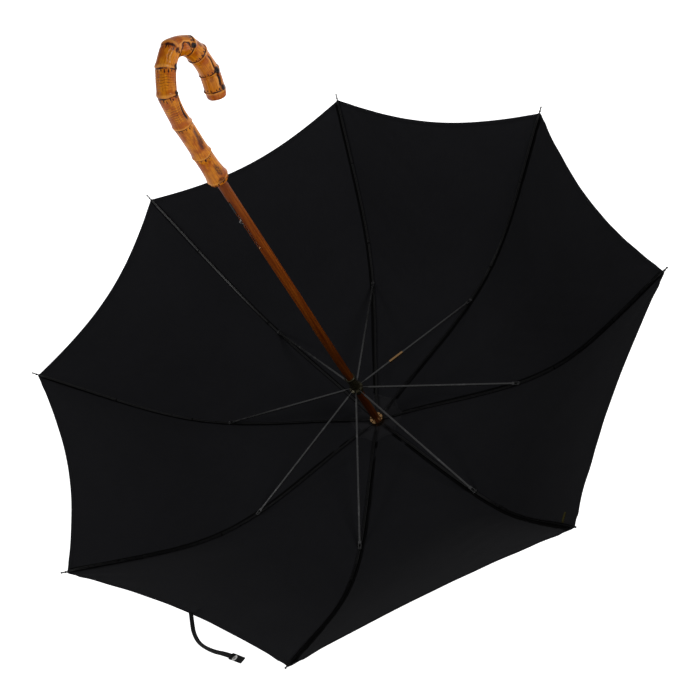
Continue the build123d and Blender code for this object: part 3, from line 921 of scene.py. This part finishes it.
def handle():
    """Whangee cane: ringed joints with root scars, grooves with burnt buds, fine cross wrinkles."""
    random = np.random.default_rng(seed + 300)
    sides = 176
    along, line = cane_line(cane_step)
    skin = CaneSkin(along / MM, sides)
    s, turn, total = skin.s, skin.turn, along[-1] / MM
    skin.radius += np.interp(along / MM, *cane_swell.T)[:, None]
    for first, second in zip(cane_rings, cane_rings[1:]):
        middle, half = (first + second) / 2, (second - first) / 2
        x = np.clip((s - middle) / half, -1, 1)
        within = (first <= s) & (s < second)
        skin.radius += np.where(within, 0.7 * abs(x) ** 3, 0)
        for lobes, size in ((2, 0.34), (3, 0.18)):
            oval = random.uniform(0, 2 * math.pi)
            skin.radius += size * (1 - x**2) * within * np.cos(lobes * turn - oval)
    for ring in cane_rings[1:]:
        skin.joint(ring, random)
    for groove in cane_grooves:
        skin.groove(*groove)
    for bud in cane_buds:
        skin.bud(*bud)
    skin.knob(212, 68, 8.8)
    for creased in cane_wrinkles:
        skin.wrinkles(*creased)
    root_band = bump(s - 1.0, 2.2)
    skin.darken(0.42 * root_band * (0.7 + 0.3 * np.cos(5 * turn)))
    for _ in range(34):
        place, centre = random.uniform(0, total), random.uniform(0, 360)
        long, wide = random.uniform(0.8, 4.0), random.uniform(0.4, 1.6)
        spot = bump(s - place, long) * bump(skin.arc(centre), wide)
        skin.darken(random.uniform(0.2, 0.5) * spot)

    tip_round, base_round = 4.5, 1.6
    near_end = np.clip((s - (total - tip_round)) / tip_round, 0, 1)
    radius = skin.radius * (0.7 + 0.3 * np.sqrt(np.maximum(0, 1 - near_end**2)))
    radius -= 1.1 * np.clip(1 - s / base_round, 0, 1) ** 2

    centre = np.zeros((len(along), 3))
    centre[:, 0], centre[:, 2] = line[:, 0], crown_z + line[:, 1]
    tangent = unit(np.gradient(centre, axis=0))
    inner = np.stack([tangent[:, 2], 0 * tangent[:, 0], -tangent[:, 0]], axis=1)
    beside = np.array([0.0, -1.0, 0.0])
    out = inner[:, None] * np.cos(turn)[..., None] + beside * np.sin(turn)[..., None]
    surface_rows = centre[:, None] + out * radius[..., None] * MM
    root_face = ((radius[0] - 2.5)[:, None], 0.2)
    first = [centre[0] + (tangent[0] * deep + out[0] * ring) * MM for ring, deep in (*bore, root_face)]
    last = []
    for share, rise in tip_dome:
        last.append(centre[-1] + (surface_rows[-1] - centre[-1]) * share + tangent[-1] * rise * MM)
    rows = np.stack([*first, *surface_rows, *last])
    piece = mesh_object("cane_handle", rows.reshape(-1, 3), ring_faces(len(rows), sides), "cane")
    grain = np.stack([np.cos(turn) * cane_girth, np.sin(turn) * cane_girth, s], axis=-1) * MM
    looks = ("burn_and_shade", "FLOAT", skin.burn_and_shade), ("pale_and_highlight", "FLOAT", skin.pale_and_highlight), ("grain", "FLOAT_VECTOR", grain)
    for name, kind, values in looks:
        with_ends = np.concatenate([[values[0]] * len(first), values, [values[-1]] * len(last)])
        set_marks(piece, name, with_ends, kind)
    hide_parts("handle")
    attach(piece, "stick")


handle()

# ---- tie strap and its snap
strap_azimuth = math.radians(182.0)
strap_width, strap_thickness = 8 * MM, 1.3 * MM
tab_width, tab_thickness, tab_run = 11.6 * MM, 2.4 * MM, 38 * MM
strap_flat = 6 * MM  # sewn flat to the hem this far
strap_turning = 150 * MM  # then it turns over this length
strap_twist = math.radians(66)
strap_step = 0.45 * MM
strap_route = np.array(  # radius, height above the crown (mm)
    [(465.2, 269.2), (475.5, 256), (486.5, 240), (494, 214), (491.5, 172), (484.5, 138), (479, 86)]
)
strap_body = "gore_4_b"


def route_points(route):
    """Points along the smooth NURBS line of a route's control points."""
    data = bpy.data.curves.new("route", "CURVE")
    data.dimensions = "3D"
    data.resolution_u = 24
    spline = data.splines.new("NURBS")
    spline.points.add(len(route) - 1)
    for point, place in zip(spline.points, route):
        point.co = (*place, 1)
    spline.order_u = 3
    spline.use_endpoint_u = True
    holder = bpy.data.objects.new("route", data)
    mesh = bpy.data.meshes.new_from_object(holder)
    points = np.array([v.co for v in mesh.vertices])
    bpy.data.objects.remove(holder)
    bpy.data.curves.remove(data)
    bpy.data.meshes.remove(mesh)
    return points


def band(name, line, side, width, thickness):
    """A flat woven band along a line, riding with the strap: rounded edges, ribbed like braid."""
    along = unit(np.gradient(line, axis=0))
    out = unit(np.cross(side, along))
    run = lengths(line)
    turn = whole_turn(24)
    across, through = np.cos(turn), np.sin(turn)
    across = np.sign(across) * abs(across) ** 0.6
    ribbing = 1 + 0.10 * np.sin(run[:, None] * 2 * math.pi / (2.0 * MM) + across * 2.2)
    height = np.sign(through) * abs(through) ** 0.7 * thickness / 2 * ribbing
    rows = line[:, None] + across[None, :, None] * side[:, None] * width / 2
    rows += out[:, None] * height[..., None]
    faces = ring_faces(len(rows), len(turn), flip=True)
    piece = mesh_object(name, rows.reshape(-1, 3), faces, "strap_fabric")
    flat = np.stack([across * width / 2 + 0 * run[:, None], run[:, None] + 0 * across], axis=-1)
    set_weave(piece, flat, layers=1)
    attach(piece, strap_body)
    return piece, out


strap_points = route_points(lifted(strap_route * MM, strap_azimuth))
strap_length = lengths(strap_points)[-1]
strap_points = at_lengths(strap_points, np.arange(0, strap_length, strap_step))
strap_along = unit(np.gradient(strap_points, axis=0))
sewn_side = tangential(strap_azimuth) + 0 * strap_points
twist_share = np.clip((lengths(strap_points) - strap_flat) / strap_turning, 0, 1)
twist = strap_twist * twist_share**2 * (3 - 2 * twist_share)
strap_sides = sewn_side * np.cos(twist)[:, None]
strap_sides += np.cross(sewn_side, strap_along) * np.sin(twist)[:, None]
strap, _ = band("tie_strap_band", strap_points, strap_sides, strap_width, strap_thickness)
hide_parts("tie_strap")

on_tab = lengths(strap_points) > strap_length - tab_run
tab_line, tab_sides = strap_points[on_tab], strap_sides[on_tab]
strap_end, tab_out = band("strap_end_tab", tab_line, tab_sides, tab_width, tab_thickness)
tab_threads = []
for face in (-1, 1):
    for edge in (-1, 1):
        row = tab_line + tab_sides * edge * 0.38 * tab_width + tab_out * face * 1.14 * MM
        tab_threads.append(stitch_row(row[4:-4], 2.6 * MM))
tab_stitches = sewn("strap_tab_stitches", joined(tab_threads), strap_body)

snap_centre = np.mean(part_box("strap_snap"), axis=0)
nearest = int(np.argmin(np.linalg.norm(tab_line - snap_centre, axis=1)))
snap_axis = tab_out[nearest]
if snap_axis[1] > 0:
    snap_axis = -snap_axis
snap_profile = [  # radius, height (mm)
    (0.4, 2.75), (1.6, 2.7), (2.3, 2.45), (2.7, 1.9), (2.85, 1.3), (3.3, 1.1), (4.1, 1.25), (4.75, 1.15),
    (5.2, 0.7), (5.25, 0.2), (4.9, -0.2), (4.0, -0.3), (2.0, -0.3), (1.9, -2.6), (4.2, -2.7), (4.5, -3.0),
    (4.2, -3.35), (2.6, -3.5), (0.4, -3.5),
]
points, faces = turned_parts(np.array(snap_profile) * MM)
snap = mesh_object("strap_snap_stud", points, faces, "snap_steel")
snap_turn = Vector(snap_axis).to_track_quat("Z", "Y").to_matrix().to_4x4()
snap_place = tab_line[nearest] + snap_axis * 1.2 * MM
snap.data.transform(Matrix.Translation(Vector(snap_place)) @ snap_turn)
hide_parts("strap_snap")
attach(snap, strap_body)


# ---- small cloths sewn to the cover
patch_grid = 25


def on_half(half, row_values, column_values, lift):
    """Points on the inside of a half gore at distances from the hem and from the seam."""
    run, aside = half["run"], half["aside"]
    rows = np.arange(len(run))
    found = {"middle": [], "inward": []}
    for away in column_values:
        share = np.array([np.interp(away, aside[r], np.arange(columns)) for r in rows])
        low = np.clip(share.astype(int), 0, columns - 2)
        part = (share - low)[:, None]
        for key, kept in found.items():
            line = half[key][rows, low] * (1 - part) + half[key][rows, low + 1] * part
            along = run[rows, low]
            kept.append(np.stack([np.interp(row_values, along, line[:, k]) for k in range(3)], axis=1))
    place, normal = (np.stack(kept, axis=1) for kept in found.values())
    return place + unit(normal) * lift, unit(normal)


def sewn_patch(name, gore, letter, rows, across, lift, thickness, fabric, replaced=None):
    """A small rectangle of cloth sewn round its edge to the inside of a half gore."""
    row_values = np.linspace(*rows, patch_grid)
    column_values = np.linspace(*across, patch_grid)
    under, normal = on_half(halves[gore, letter], row_values, column_values, lift)
    x = abs(np.linspace(-1, 1, patch_grid))
    puff = 1 - np.maximum(x[:, None], x) ** 8
    over = under + normal * (thickness * (0.35 + 0.65 * puff))[..., None]
    points, faces, _ = thin_shell(under, over) if letter == "a" else thin_shell(over, under)
    piece = mesh_object(name, points, faces, fabric)
    set_weave(piece, np.stack(np.meshgrid(column_values, row_values), axis=-1))
    if replaced:
        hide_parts(replaced)
    border = np.array([*over[2, 2:-2], *over[3:-2, -3], *over[-3, -4:1:-1], *over[-4:1:-1, 2]])
    threads = stitch_row(closed_loop(border), 2.2 * MM, radius=0.22 * MM)
    sewing = sewn(name + "_stitches", threads)
    fold_with(gore, letter, (piece, sewing))
    return piece, sewing


hem_radius = 0.466  # mid-gore
patch_turn = math.radians(1.3)  # from mid-gore
patch_aside = halves[4, "b"]["aside"][0, -1] - hem_radius * patch_turn
patch, patch_sewing = sewn_patch(
    "strap_patch", 4, "b", rows=(2.5 * MM, 21 * MM), across=(patch_aside - 8 * MM, patch_aside + 8 * MM),
    lift=0.8 * MM, thickness=0.9 * MM, fabric="cover_fabric",
)
sewn_patch(
    "plain_tab", 6, "a", rows=(42 * MM, 48.5 * MM), across=(3.5 * MM, 18.5 * MM),
    lift=0.35 * MM, thickness=0.6 * MM, fabric="tab_fabric", replaced="side_tab",
)
